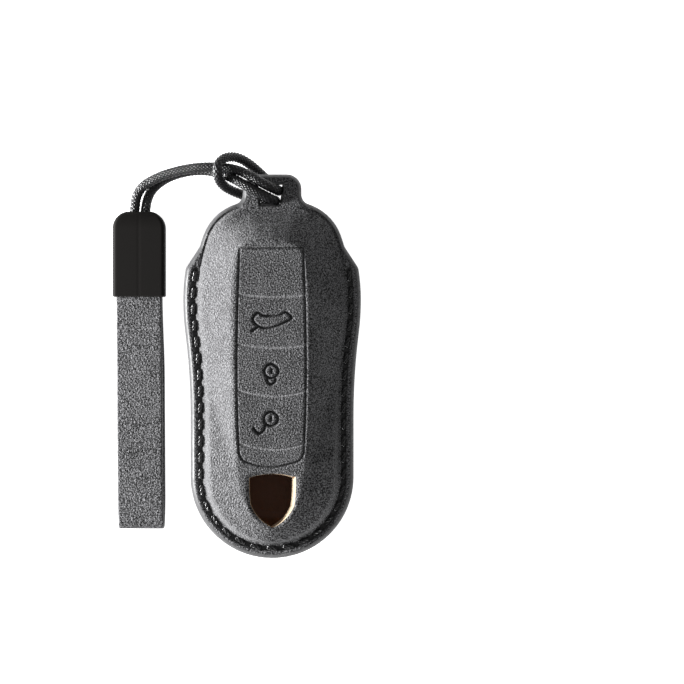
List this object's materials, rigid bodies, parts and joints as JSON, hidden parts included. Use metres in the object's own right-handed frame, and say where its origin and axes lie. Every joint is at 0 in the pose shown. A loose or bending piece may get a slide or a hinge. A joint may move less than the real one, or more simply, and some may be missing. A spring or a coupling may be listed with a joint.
{
  "type": "key fob cover",
  "caption": "Moulded suede cover for a car key fob: a stitched, lined pocket with embossed button pads and a shield window, and a tab that carries a corded wrist strap",
  "frame": {"origin": "the flat resting face of the back, on the cover's middle line, level with the middle of its length", "axes": "X to the right across the cover, Y along it towards the tab, Z out of the front"},
  "size_m": [0.0611, 0.0996, 0.02],
  "materials": {
    "grey_suede": "napped suede with a burnished edge",
    "brown_lining": "smooth, satin",
    "waxed_thread": "waxed, twisted",
    "braided_cord": "round braid, slight sheen",
    "soft_black_plastic": "soft-touch matt",
    "crimp_metal": "pressed, satin"
  },
  "bodies": {
    "cover": {"front_panel": "grey_suede", "back_panel": "grey_suede", "front_lining": "brown_lining", "back_lining": "brown_lining", "front_stitches": "waxed_thread", "back_stitches": "waxed_thread", "lanyard_cord": "braided_cord"},
    "cap": {"strap_cap": "soft_black_plastic", "cord_crimp": "crimp_metal"},
    "strap": {"wrist_strap": "grey_suede"}
  },
  "joints": [
    {"name": "lanyard_swing", "type": "hinge", "parent": "cover", "child": "cap", "pos_m": [-0.016, 0.0487, 0.0087], "axis": [0, 0, 1], "range_deg": [-90, 4], "deforming": ["lanyard_cord"]},
    {"name": "strap_bend", "type": "hinge", "parent": "cap", "child": "strap", "pos_m": [-0.0329, 0.0172, 0.0037], "axis": [-1, 0, 0], "range_deg": [0, 90], "deforming": ["wrist_strap"]}
  ]
}
